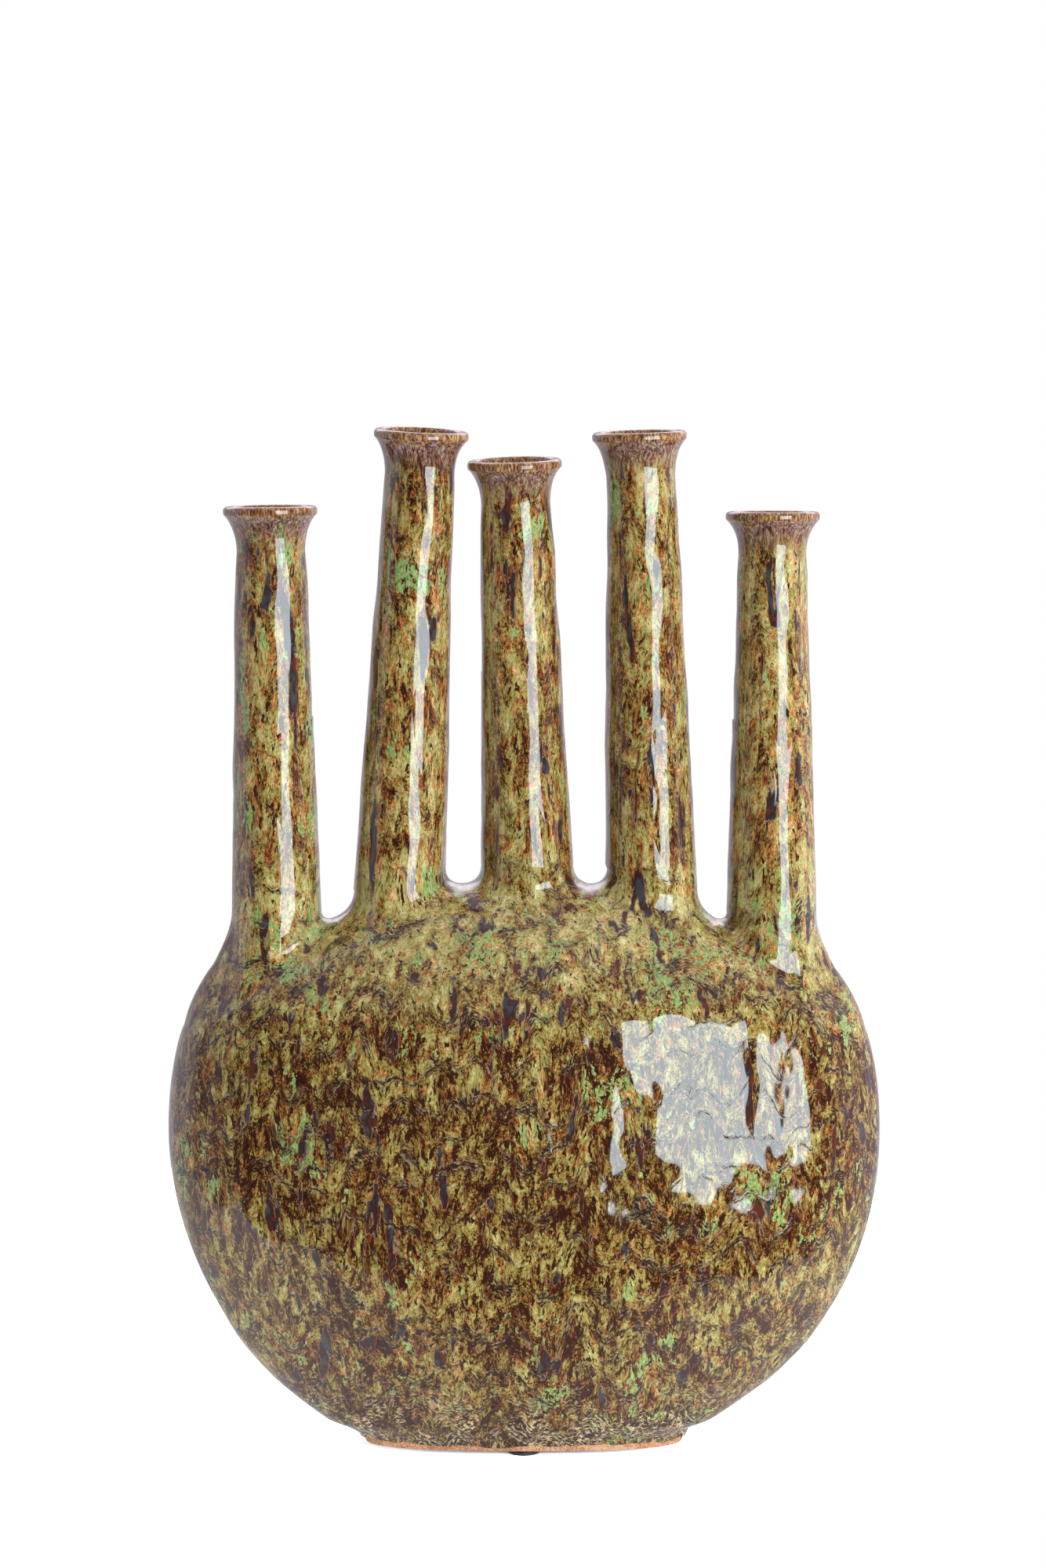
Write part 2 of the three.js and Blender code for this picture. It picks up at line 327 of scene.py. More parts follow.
def bend(p0, p1, p2, steps):
    """Points of (radius, height) along a curve that leaves p0 and meets p2 towards p1."""
    shares = [i / steps for i in range(1, steps + 1)]
    return [
        tuple((1 - t) ** 2 * a + 2 * t * (1 - t) * b + t**2 * c for a, b, c in zip(p0, p1, p2))
        for t in shares
    ]


def straight(p0, p1, steps):
    """Points along a straight stretch of the outline, without its first one."""
    return [tuple(a + (b - a) * i / steps for a, b in zip(p0, p1)) for i in range(1, steps + 1)]


def height_up_axis(axes, radius, around):
    """How far up a neck's axis its surface points at a radius meet the body."""
    x, y = radius * np.cos(around), radius * np.sin(around)
    height = np.zeros(len(x))
    turn, root = np.array(axes.to_3x3()), np.array(axes.translation)
    for _ in range(6):  # rounds, by which it has settled
        spot = np.stack([x, y, height], axis=1) @ turn.T + root
        height = height + body_height(spot[:, 0], spot[:, 1]) - spot[:, 2]
    return height


glazed_necks = []
for name, root_x, rim_height, lean_side, lean_front, spread in neck_list:
    ridge = float(body_height(np.array([root_x * mm]), np.array([0.0]))[0])
    axes = Matrix.Rotation(math.radians(lean_side), 4, "Y")
    axes = Matrix.Rotation(math.radians(lean_front), 4, "X") @ axes
    axes.translation = (root_x * mm, 0, ridge)
    length = (rim_height * mm - ridge) / math.cos(math.radians(lean_side))
    throat = length - flare_height
    lip = length - lip_radius
    bore = throat_radius - neck_wall
    lip_centre = rim_radius - lip_radius

    # The outline runs up the bore, over the lip and down the outer wall
    inner_root = (root_radius - neck_wall, -inner_root_depth)
    inner_throat, outer_throat = (bore, throat), (throat_radius, throat)
    inner_bend = (bore + flare_bow, length - inner_flare_bend)
    outer_bend = (throat_radius + flare_bow, length - outer_flare_bend)
    flare_top = (rim_radius - lip_draw, lip - lip_drop)
    outline = [inner_root]
    outline += straight(inner_root, inner_throat, steps=14)
    outline += bend(inner_throat, inner_bend, (lip_centre - lip_radius, lip), steps=10)
    outline += arc(lip_centre, lip, lip_radius, math.pi, 0, steps=12)
    outline += straight((rim_radius, lip), flare_top, steps=2)
    outline += bend(flare_top, outer_bend, outer_throat, steps=16)
    outline += straight(outer_throat, (throat_radius, 0), steps=84)
    outline += straight((throat_radius, 0), (throat_radius, -blend_band), steps=16)
    outline += straight(outline[-1], inner_root, steps=3)
    neck = turned("glazed_" + name, outline, neck_steps)

    # Depth below the rim along the wall, which the glaze follows
    places = points_of(neck)
    below = neck.data.attributes.new("below_rim", "FLOAT", "POINT")
    below_rim = length - places[:, 2]
    below.data.foreach_set("value", (below_rim / mm).astype(np.float32))

    # The outer wall widens downwards, and its lowest part spreads over the body
    radius = np.hypot(places[:, 0], places[:, 1])
    around = np.arctan2(places[:, 1], places[:, 0])
    over_band = places[:, 2] > -blend_band - leeway
    outer = (radius > bore + 2 * mm) & (places[:, 2] < throat + leeway) & over_band
    is_end = name in ("neck_1", "neck_5")
    outward = np.maximum(0, np.cos(around) * math.copysign(1, root_x)) ** 2 * is_end
    reach = spread * mm + (end_blend_reach - spread * mm) * outward
    elbow = reach + (end_elbow - reach) * outward
    edge_height = height_up_axis(axes, root_radius + reach, around)
    inside_height = height_up_axis(axes, root_radius + reach - slope_step, around)
    slope = np.minimum((inside_height - edge_height) / slope_step, end_slope)
    corner = edge_height + slope * reach
    top = corner + elbow
    root_top = root_radius + (throat_radius - root_radius) * np.clip(top / throat, 0, 1)

    share = np.clip(places[:, 2] / throat, 0, 1)
    wall_height = top + (throat - top) * share
    wall_radius = root_radius + (throat_radius - root_radius) * wall_height / throat

    # The blend is an elbow between the wall and a slope, then the slope down to its edge. The
    # elbow takes the whole band, or half of it on the outer side of an end neck
    t = np.clip(-places[:, 2] / blend_band, 0, 1)
    elbow_share = 1 - 0.5 * outward
    u = np.clip(t / elbow_share, 0, 1)
    w = np.clip((t - elbow_share) / np.maximum(1 - elbow_share, 0.01), 0, 1)
    slope_r = root_radius + elbow
    slope_z = corner + (edge_height - corner) * elbow / reach
    blend_r = (1 - u) ** 2 * root_top + 2 * u * (1 - u) * root_top + u**2 * slope_r
    blend_z = (1 - u) ** 2 * top + 2 * u * (1 - u) * corner + u**2 * slope_z
    blend_r += w * (root_radius + reach - slope_r) + 4 * w * (1 - w) * end_bulge * outward
    blend_z += w * (edge_height - slope_z) - edge_sink * t**2
    on_blend = places[:, 2] < 0
    new_r = np.where(on_blend, blend_r, wall_radius)
    new_z = np.where(on_blend, blend_z, wall_height)
    body_under = height_up_axis(axes, radius, around)
    places[:, 0] = np.where(outer, new_r * np.cos(around), places[:, 0])
    places[:, 1] = np.where(outer, new_r * np.sin(around), places[:, 1])
    places[:, 2] = np.where(outer, new_z, places[:, 2])
    places[:, 2] = np.where(over_band, places[:, 2], body_under - underside_depth)
    set_points(neck, places)
    neck.data.transform(axes)
    add_relief(neck, blended(below_rim, 2 * mm, 16 * mm))
    glazed_necks.append(neck)

    bpy.ops.object.select_all(action="DESELECT")
    bore_radius = root_radius - neck_wall + bore_gap
    bpy.ops.mesh.primitive_cylinder_add(vertices=48, radius=bore_radius, depth=bore_tool_length)
    bore_tool = bpy.context.object
    bore_tool.data.transform(axes)
    cut(hollow, bore_tool, "UNION")

# The body lies far below every rim, so its glaze shows none of their colours
far_below = 200
cut(body, hollow, "DIFFERENCE")
below = body.data.attributes.new("below_rim", "FLOAT", "POINT")
below.data.foreach_set("value", np.full(len(body.data.vertices), far_below, np.float32))
smooth(body, 50)
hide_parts("front_shell", "back_shell")
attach(body, "root")
for neck, (name, *_) in zip(glazed_necks, neck_list):
    smooth(neck, 50)
    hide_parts(name)
    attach(neck, "root")


# Glaze on the body and necks
# A thick glossy reactive glaze, fired until it ran: khaki and ochre streaks that the drips pull
# downwards, apple green pools, purple-black iron spots, and wrinkles where the flows met.
def linear(hex_colour):
    """An sRGB hex colour as linear RGBA."""
    parts = [int(hex_colour[i : i + 2], 16) / 255 for i in (1, 3, 5)]
    return tuple(c / 12.92 if c <= 0.04045 else ((c + 0.055) / 1.055) ** 2.4 for c in parts) + (1,)


def node(tree, kind, inputs, output=0, **settings):
    """Adds a node with its settings, sets or links its inputs, and gives one of its outputs."""
    made = tree.nodes.new("ShaderNode" + kind)
    for name, value in settings.items():
        if name == "stops":
            elements = made.color_ramp.elements
            while len(elements) < len(value):
                elements.new(0.5)
            for element, (share, colour) in zip(elements, value):
                element.position = share
                element.color = linear(colour)
        else:
            setattr(made, name, value)
    for name, value in inputs.items():
        if isinstance(value, bpy.types.NodeSocket):
            tree.links.new(value, made.inputs[name])
        else:
            made.inputs[name].default_value = value
    return made.outputs[output] if made.outputs else made


def blank_material(name):
    """A new material whose node tree is empty."""
    material = bpy.data.materials.new(name)
    material.use_nodes = True
    material.node_tree.nodes.clear()
    return material


# Sizes in mm of the patterns in the glaze, across the way that it ran
sink_width = 17
sink_depth = 9.0
ripple_width = 3.2
ripple_depth = 3.0
grain_width = 0.95
run_width = 3.8
cloud_width = 24
blotch_width = 11
marble_width = 5
hue_width = 4.2
meadow_width = 34
pool_width = 7
fleck_width = 2.2
streak_width = 2.4
drip_width = 8
wrinkle_length = 12
hair_width = 0.9
lip_streak_width = 0.9
swell_width = 27

# The folds in which it hangs, also in mm
fold_height = 18
fold_width = 32
fold_sway = 60.0

glaze = blank_material("runny_reactive_glaze")
tree = glaze.node_tree
spot = node(tree, "TexCoord", {}, "Object")
in_mm = node(tree, "VectorMath", {0: spot, "Scale": 1 / mm}, operation="SCALE")
height = node(tree, "SeparateXYZ", {0: in_mm}, "Z")

# Curtains: the flows sink unevenly, by up to 9 mm over some 17 mm of width, and ripple
wide = node(tree, "VectorMath", {0: in_mm, 1: (1, 1, 0.35)}, operation="MULTIPLY")
sink = node(tree, "TexNoise", {"Vector": wide, "Scale": 1 / sink_width, "Detail": 1.5})
sink = {"Value": sink, "From Min": 0.25, "From Max": 0.75, "To Min": -sink_depth, "To Max": sink_depth}
sink = node(tree, "MapRange", sink)
sink = node(tree, "CombineXYZ", {"Z": sink})
ripple = node(tree, "TexNoise", {"Vector": wide, "Scale": 1 / ripple_width, "Detail": 2.0}, "Color")
ripple = node(tree, "VectorMath", {0: ripple, 1: (0.5, 0.5, 0.5)}, operation="SUBTRACT")
ripple = {0: ripple, 1: (ripple_depth, ripple_depth, ripple_depth), 2: sink}
ripple = node(tree, "VectorMath", ripple, operation="MULTIPLY_ADD")
flow = node(tree, "VectorMath", {0: in_mm, 1: ripple}, operation="ADD")

# Grain is drawn out downwards to 1.7 times its width, runs to 2.5 times and drips to 4 times,
# and on the steep necks, from 250 mm up, all are drawn out further
flow_x = node(tree, "SeparateXYZ", {0: flow}, "X")
flow_y = node(tree, "SeparateXYZ", {0: flow}, "Y")
flow_z = node(tree, "SeparateXYZ", {0: flow}, "Z")
steep_z = node(tree, "Math", {0: flow_z, 1: 0.8, 2: 50.0}, operation="MULTIPLY_ADD")
steep_z = node(tree, "Math", {0: flow_z, 1: steep_z}, operation="MINIMUM")
steady = node(tree, "CombineXYZ", {"X": flow_x, "Y": flow_y, "Z": steep_z})
drawn = node(tree, "VectorMath", {0: steady, 1: (1, 1, 0.6)}, operation="MULTIPLY")
long_drawn = node(tree, "VectorMath", {0: steady, 1: (1, 1, 0.4)}, operation="MULTIPLY")
hanging = node(tree, "VectorMath", {0: steady, 1: (1, 1, 0.24)}, operation="MULTIPLY")
grain = {"Vector": drawn, "Scale": 1 / grain_width, "Detail": 2.0, "Roughness": 0.7}
grain = node(tree, "TexNoise", grain)
runs = {"Vector": long_drawn, "Scale": 1 / run_width, "Detail": 2.0, "Roughness": 0.6}
runs = node(tree, "TexNoise", runs)
clouds = node(tree, "TexNoise", {"Vector": flow, "Scale": 1 / cloud_width, "Detail": 1.0})
blotches = {"Vector": drawn, "Scale": 1 / blotch_width, "Detail": 1.5, "Roughness": 0.5}
blotches = node(tree, "TexNoise", blotches)

# The glaze hangs in scalloped folds, each paler and thicker at its lower edge
drape = node(tree, "TexNoise", {"Vector": flow, "Scale": 1 / fold_width, "Detail": 1.0})
drape = node(tree, "Math", {0: drape, 1: fold_sway, 2: flow_z}, operation="MULTIPLY_ADD")
drape = node(tree, "Math", {0: grain, 1: 2.4, 2: drape}, operation="MULTIPLY_ADD")
fold = node(tree, "Math", {0: drape, 1: 1 / fold_height}, operation="MULTIPLY")
fold = node(tree, "Math", {0: fold}, operation="FRACT")

# The shoulder under the necks holds less iron than the belly, and the necks lie between them
shoulder = {"Value": height, "From Min": 180.0, "From Max": 232.0, "To Min": 0.04, "To Max": -0.028}
shoulder = node(tree, "MapRange", shoulder)
on_neck = node(tree, "MapRange", {"Value": height, "From Min": 245.0, "From Max": 280.0})
iron = node(tree, "Math", {0: on_neck, 1: 0.028, 2: shoulder}, operation="MULTIPLY_ADD")
centred = node(tree, "Math", {0: clouds, 1: 0.5}, operation="SUBTRACT")
iron = node(tree, "Math", {0: centred, 1: -0.1, 2: iron}, operation="MULTIPLY_ADD")

# The colours also lie in fine feathery lines, about 0.8 mm apart, like marbling
marble = {"Vector": drawn, "Scale": 1 / marble_width, "Detail": 3.0, "Roughness": 0.62}
marble = node(tree, "TexNoise", marble)
marble = node(tree, "Math", {0: marble, 1: 95.0}, operation="MULTIPLY")
marble = node(tree, "Math", {0: marble}, operation="SINE")

# All of these add up to one tone, from the darkest iron to the palest glass, which picks the
# colour from a khaki range, and here and there from a green or a rust range
tone = node(tree, "Math", {0: runs, 1: 0.4, 2: 0.01}, operation="MULTIPLY_ADD")
tone = node(tree, "Math", {0: grain, 1: 0.42, 2: tone}, operation="MULTIPLY_ADD")
tone = node(tree, "Math", {0: blotches, 1: 0.2, 2: tone}, operation="MULTIPLY_ADD")
tone = node(tree, "Math", {0: fold, 1: -0.04, 2: tone}, operation="MULTIPLY_ADD")
tone = node(tree, "Math", {0: marble, 1: 0.032, 2: tone}, operation="MULTIPLY_ADD")
tone = node(tree, "Math", {0: tone, 1: iron}, operation="SUBTRACT")
khaki = [
    (0.37, "#25110b"),
    (0.42, "#4e2f16"),
    (0.46, "#77582a"),
    (0.495, "#83743b"),
    (0.535, "#948d51"),
    (0.59, "#a69c65"),
    (0.68, "#c9bd8c"),
]
green = [(0.38, "#363314"), (0.43, "#636d38"), (0.49, "#839456"), (0.56, "#9bb070"), (0.65, "#c4d3a0")]
rusty = [(0.37, "#27100c"), (0.44, "#623017"), (0.51, "#955a2c"), (0.57, "#ad7d47"), (0.65, "#cfae7e")]
khaki = node(tree, "ValToRGB", {"Fac": tone}, stops=khaki)
green = node(tree, "ValToRGB", {"Fac": tone}, stops=green)
rusty = node(tree, "ValToRGB", {"Fac": tone}, stops=rusty)
hue = node(tree, "TexNoise", {"Vector": drawn, "Scale": 1 / hue_width, "Detail": 3.0, "Roughness": 0.8})
hue = node(tree, "Math", {0: on_neck, 1: -0.045, 2: hue}, operation="MULTIPLY_ADD")
greener = node(tree, "MapRange", {"Value": hue, "From Min": 0.625, "From Max": 0.67})
redder = node(tree, "MapRange", {"Value": hue, "From Min": 0.44, "From Max": 0.38})
colour = node(tree, "Mix", {0: greener, 6: khaki, 7: green}, 2, data_type="RGBA")
colour = node(tree, "Mix", {0: redder, 6: colour, 7: rusty}, 2, data_type="RGBA")

# Smooth apple green pools gather in meadows some 35 mm wide, with dark specks and rust flecks
meadow = node(tree, "TexNoise", {"Vector": in_mm, "Scale": 1 / meadow_width, "Detail": 1.0})
pool = {"Vector": long_drawn, "Scale": 1 / pool_width, "Detail": 3.0, "Roughness": 0.65}
pool = node(tree, "TexNoise", pool)
pool = node(tree, "Math", {0: grain, 1: 0.24, 2: pool}, operation="MULTIPLY_ADD")
pool = node(tree, "Math", {0: meadow, 1: 0.95, 2: pool}, operation="MULTIPLY_ADD")
pool = node(tree, "Math", {0: pool, 1: iron}, operation="SUBTRACT")
pool = node(tree, "Math", {0: on_neck, 1: -0.02, 2: pool}, operation="MULTIPLY_ADD")
fleck = node(tree, "TexNoise", {"Vector": drawn, "Scale": 1 / fleck_width, "Detail": 1.5, "Roughness": 0.6})
fleck = node(tree, "MapRange", {"Value": fleck, "From Min": 0.53, "From Max": 0.56})
pool = node(tree, "Math", {0: fleck, 1: -0.12, 2: pool}, operation="MULTIPLY_ADD")
pool = node(tree, "MapRange", {"Value": pool, "From Min": 1.235, "From Max": 1.25})
lush = node(tree, "MapRange", {"Value": meadow, "From Min": 0.5, "From Max": 0.58, "To Max": 0.8})
blush = node(tree, "Math", {0: lush, 1: fleck}, operation="MULTIPLY")
colour = node(tree, "Mix", {0: blush, 6: colour, 7: rusty}, 2, data_type="RGBA")
pond = [(0.33, "#35351c"), (0.38, "#6d7d43"), (0.5, "#7a9055"), (0.66, "#98ab70")]
pond = node(tree, "ValToRGB", {"Fac": grain}, stops=pond)
colour = node(tree, "Mix", {0: pool, 6: colour, 7: pond}, 2, data_type="RGBA")

# Dark maroon streaks of 1 to 2 mm
streak = {"Vector": long_drawn, "Scale": 1 / streak_width, "Detail": 3.0, "Roughness": 0.7}
streak = node(tree, "TexNoise", streak)
streak = node(tree, "Math", {0: streak, 1: iron}, operation="ADD")
streak = node(tree, "MapRange", {"Value": streak, "From Min": 0.575, "From Max": 0.615})
colour = node(tree, "Mix", {0: streak, 6: colour, 7: linear("#321711")}, 2, data_type="RGBA")

# Purple-black drips, 2 to 6 mm wide and longer downwards: each has a sharp pale hairline round
# it, a maroon streaked tail and a rust fringe
drip = {"Vector": hanging, "Scale": 1 / drip_width, "Detail": 3.5, "Roughness": 0.5, "Distortion": 0.25}
drip = node(tree, "TexNoise", drip)
drip = node(tree, "Math", {0: grain, 1: 0.05, 2: drip}, operation="MULTIPLY_ADD")
fringe = node(tree, "Math", {0: grain, 1: 0.1, 2: drip}, operation="MULTIPLY_ADD")
fringe = node(tree, "MapRange", {"Value": fringe, "From Min": 0.67, "From Max": 0.7})
crust = node(tree, "MapRange", {"Value": drip, "From Min": 0.643, "From Max": 0.648, "To Max": 0.6})
drip = node(tree, "MapRange", {"Value": drip, "From Min": 0.649, "From Max": 0.655})
slate = [(0.4, "#4f2619"), (0.47, "#331b1a"), (0.53, "#2d2729"), (0.62, "#3e3a3d")]
slate = node(tree, "ValToRGB", {"Fac": runs}, stops=slate)
colour = node(tree, "Mix", {0: fringe, 6: colour, 7: linear("#5c3014")}, 2, data_type="RGBA")
colour = node(tree, "Mix", {0: crust, 6: colour, 7: linear("#b39c7e")}, 2, data_type="RGBA")
colour = node(tree, "Mix", {0: drip, 6: colour, 7: slate}, 2, data_type="RGBA")

# Wrinkles where curtains of glaze met: a sharp dark line along their scalloped edge, among fine
# dark and cream hairs that follow it. They are broken, and seldom on the necks
edge = node(tree, "Math", {0: drape, 1: fold_height / 2}, operation="PINGPONG")
broken = node(tree, "TexNoise", {"Vector": in_mm, "Scale": 1 / wrinkle_length, "Detail": 1.0})
broken = node(tree, "MapRange", {"Value": broken, "From Min": 0.43, "From Max": 0.53})
folded = node(tree, "MapRange", {"Value": runs, "From Min": 0.38, "From Max": 0.48})
broken = node(tree, "Math", {0: broken, 1: folded}, operation="MULTIPLY")
seldom = node(tree, "Math", {0: on_neck, 1: -0.8, 2: 1.0}, operation="MULTIPLY_ADD")
broken = node(tree, "Math", {0: broken, 1: seldom}, operation="MULTIPLY")
near = node(tree, "MapRange", {"Value": edge, "From Min": 4.2, "From Max": 0.6})
near = node(tree, "Math", {0: near, 1: broken}, operation="MULTIPLY")

# Just above the foot the same hairs crackle in patches, and there the cream ones are strongest
crackle = node(tree, "MapRange", {"Value": blotches, "From Min": 0.42, "From Max": 0.52, "To Max": 0.8})
low = node(tree, "MapRange", {"Value": height, "From Min": 40.0, "From Max": 16.0})
crackle = node(tree, "Math", {0: crackle, 1: low}, operation="MULTIPLY")
near = node(tree, "Math", {0: near, 1: crackle}, operation="MAXIMUM")
pale = node(tree, "Math", {0: near, 1: 0.4}, operation="MULTIPLY")
pale = node(tree, "Math", {0: pale, 1: crackle}, operation="MAXIMUM")
band = node(tree, "Math", {0: near, 1: 0.55}, operation="MULTIPLY")
colour = node(tree, "Mix", {0: band, 6: colour, 7: linear("#43281a")}, 2, data_type="RGBA")
hairs = node(tree, "VectorMath", {0: flow, 1: (0.45, 0.45, 1.0)}, operation="MULTIPLY")
hairs = node(tree, "TexNoise", {"Vector": hairs, "Scale": 1 / hair_width, "Detail": 2.0, "Roughness": 0.7})
cream = node(tree, "MapRange", {"Value": hairs, "From Min": 0.53, "From Max": 0.6, "To Max": 0.9})
cream = node(tree, "Math", {0: cream, 1: pale}, operation="MULTIPLY")
inky = node(tree, "MapRange", {"Value": hairs, "From Min": 0.5, "From Max": 0.42, "To Max": 1.5})
inky = node(tree, "Math", {0: inky, 1: near}, operation="MULTIPLY", use_clamp=True)
seam = node(tree, "MapRange", {"Value": edge, "From Min": 0.9, "From Max": 0.3, "To Max": 0.8})
seam = node(tree, "Math", {0: seam, 1: broken}, operation="MULTIPLY")
inky = node(tree, "Math", {0: inky, 1: seam}, operation="MAXIMUM")
colour = node(tree, "Mix", {0: cream, 6: colour, 7: linear("#cdbb98")}, 2, data_type="RGBA")
colour = node(tree, "Mix", {0: inky, 6: colour, 7: linear("#281917")}, 2, data_type="RGBA")

# The glaze thins at the rims: an ochre lip with fine streaks over a purple-brown flare
below = node(tree, "Attribute", {}, "Fac", attribute_name="below_rim")
fine = node(tree, "VectorMath", {0: flow, 1: (1, 1, 0.2)}, operation="MULTIPLY")
fine = {"Vector": fine, "Scale": 1 / lip_streak_width, "Detail": 2.0, "Roughness": 0.65}
fine = node(tree, "TexNoise", fine)
ragged = node(tree, "Math", {0: runs, 1: -14.0, 2: below}, operation="MULTIPLY_ADD")
flare = [(0.38, "#2e181b"), (0.46, "#573836"), (0.54, "#755350"), (0.64, "#a38b76")]
flare = node(tree, "ValToRGB", {"Fac": fine}, stops=flare)
share = node(tree, "MapRange", {"Value": ragged, "From Min": 12.0, "From Max": 1.0, "To Max": 0.9})
colour = node(tree, "Mix", {0: share, 6: colour, 7: flare}, 2, data_type="RGBA")
ochre = [(0.38, "#4a261a"), (0.46, "#71492f"), (0.54, "#8b6540"), (0.64, "#b39260")]
ochre = node(tree, "ValToRGB", {"Fac": fine}, stops=ochre)
share = node(tree, "MapRange", {"Value": ragged, "From Min": -1.5, "From Max": -4.5})
colour = node(tree, "Mix", {0: share, 6: colour, 7: ochre}, 2, data_type="RGBA")

# The fired skin swells slowly, by about 1 mm over 27 mm and less on the necks, and is creased
# at the wrinkles. The IOR is above the usual 1.5 to 1.7 of a glaze, because the real one mirrors
# the window that strongly
slow = node(tree, "VectorMath", {0: in_mm, 1: (1, 1, 0.6)}, operation="MULTIPLY")
swell = node(tree, "TexNoise", {"Vector": slow, "Scale": 1 / swell_width, "Detail": 2.0, "Roughness": 0.32})
calm = node(tree, "Math", {0: on_neck, 1: -0.6, 2: 1.0}, operation="MULTIPLY_ADD")
swell = node(tree, "Math", {0: swell, 1: calm}, operation="MULTIPLY")
swell = node(tree, "Bump", {"Strength": 1.0, "Distance": 3.4 * mm, "Height": swell}, "Normal")
crease = {"Value": edge, "From Min": 1.6, "From Max": 0.0}
crease = node(tree, "MapRange", crease, interpolation_type="SMOOTHSTEP")
crease = node(tree, "Math", {0: crease, 1: broken}, operation="MULTIPLY")
crease = node(tree, "Math", {0: crease, 1: calm}, operation="MULTIPLY")
skin = {"Strength": 1.0, "Distance": 0.04 * mm, "Height": crease, "Normal": swell}
skin = node(tree, "Bump", skin, "Normal")
surface = {"Base Color": colour, "Roughness": 0.05, "IOR": 1.85, "Normal": skin}
surface = node(tree, "BsdfPrincipled", surface)
node(tree, "OutputMaterial", {"Surface": surface})
for piece in [body] + glazed_necks:
    piece.data.materials.clear()
    piece.data.materials.append(glaze)


# Clay foot
# The bare red clay base under the glaze, trimmed flat with a sponged lower edge, sandy and matt
# because the glaze was wiped off it before the firing.
foot_base = 2.3 * mm
foot_steps = 240
foot_outline = [
    (0, foot_base),
    (70.6 * mm, foot_base),
    (71.6 * mm, 2.5 * mm),
    (72.1 * mm, 3.2 * mm),
    (72.6 * mm, 5.0 * mm),
    (73.0 * mm, 7.9 * mm),
    (0, 8.0 * mm),
]
foot = turned("clay_foot", foot_outline, foot_steps)
places = points_of(foot)
around = np.arctan2(places[:, 1], places[:, 0])
places[:, 1] *= flattening(0)
places[:, :2] *= fuller(around)[:, None]
set_points(foot, places)
smooth(foot, 40)
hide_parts("foot_slab")
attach(foot, "root")

clay = blank_material("bare_fired_clay")
tree = clay.node_tree
spot = node(tree, "TexCoord", {}, "Object")
# Grog of about 0.8 mm, and soft clouds of 12 mm from the flame
grog = node(tree, "TexNoise", {"Vector": spot, "Scale": 1200.0, "Detail": 3.0})
cloud = node(tree, "TexNoise", {"Vector": spot, "Scale": 80.0, "Detail": 1.0})
colour = node(tree, "Math", {0: cloud, 1: 0.6, 2: grog}, operation="MULTIPLY_ADD")
terracotta = [(0.66, "#94644a"), (0.8, "#b27f5e"), (0.95, "#caa07e")]
colour = node(tree, "ValToRGB", {"Fac": colour}, stops=terracotta)
# What it throws on the table is grey: the table shows its light stronger than paper would
thrown = node(tree, "LightPath", {}, "Is Diffuse Ray")
colour = node(tree, "Mix", {0: thrown, 6: colour, 7: linear("#5f6166")}, 2, data_type="RGBA")
grain = node(tree, "Bump", {"Strength": 0.6, "Distance": 0.2 * mm, "Height": grog}, "Normal")
surface = node(tree, "BsdfPrincipled", {"Base Color": colour, "Roughness": 0.9, "Normal": grain})
node(tree, "OutputMaterial", {"Surface": surface})
foot.data.materials.append(clay)


# Bumper pads
# Three round self-adhesive pads of dark moulded rubber, stuck under the foot so that it doesn't
# scratch a table. They are satin, with a soft rounded edge.
rubber = blank_material("dark_moulded_rubber")
tree = rubber.node_tree
spot = node(tree, "TexCoord", {}, "Object")
# A moulded skin with a faint grain of 1 mm and dust on it
skin = node(tree, "TexNoise", {"Vector": spot, "Scale": 900.0, "Detail": 2.0})
colour = node(tree, "ValToRGB", {"Fac": skin}, stops=[(0.3, "#20272a"), (0.7, "#343d40")])
grain = node(tree, "Bump", {"Strength": 0.3, "Distance": 0.1 * mm, "Height": skin}, "Normal")
surface = node(tree, "BsdfPrincipled", {"Base Color": colour, "Roughness": 0.45, "Normal": grain})
node(tree, "OutputMaterial", {"Surface": surface})

pad_steps = 64
pad_outline = [
    (0, 0),
    (6.3 * mm, 0),
    (6.75 * mm, 0.15 * mm),
    (6.98 * mm, 0.5 * mm),
    (7.0 * mm, 1.2 * mm),
    (6.85 * mm, 1.7 * mm),
    (6.5 * mm, 1.95 * mm),
    (0, 2.0 * mm),
]
for name in ("pad_front", "pad_rear_left", "pad_rear_right"):
    low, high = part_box(name)
    pad = turned("rubber_" + name, pad_outline, pad_steps)
    pad.data.transform(Matrix.Translation(((low.x + high.x) / 2, (low.y + high.y) / 2, 0)))
    pad.data.materials.append(rubber)
    smooth(pad, 40)
    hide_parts(name)
    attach(pad, "root")


# Floor and light
# A white table top on a white ground, one large window-like soft light at the right front that
# the glaze mirrors as bright strips, and an even room that is brighter to the right.
table_centre = (-0.1, 0.25, 0)
table_reach = (0.6, 0.45, 1, 1)
bpy.ops.object.select_all(action="DESELECT")
bpy.ops.mesh.primitive_circle_add(vertices=128, radius=1, fill_type="NGON", location=(0, 0, 0))
table = bpy.context.object
table.name = "table_top"
table.data.transform(Matrix.Translation(table_centre) @ Matrix.Diagonal(table_reach))

paper = blank_material("white_paper")
tree = paper.node_tree
seen = node(tree, "LightPath", {}, "Is Camera Ray")
mirrored = node(tree, "LightPath", {}, "Is Glossy Ray")
# For the light it throws back onto the vase, the table is matt paper plus a glow: it glows like a weak
# lamp, a painted bounce light
matt = node(tree, "BsdfDiffuse", {"Color": (0.8, 0.8, 0.8, 1)})
glow = node(tree, "Emission", {"Color": (1, 1, 1, 1), "Strength": 0.85})
lit = node(tree, "AddShader", {0: matt, 1: glow})
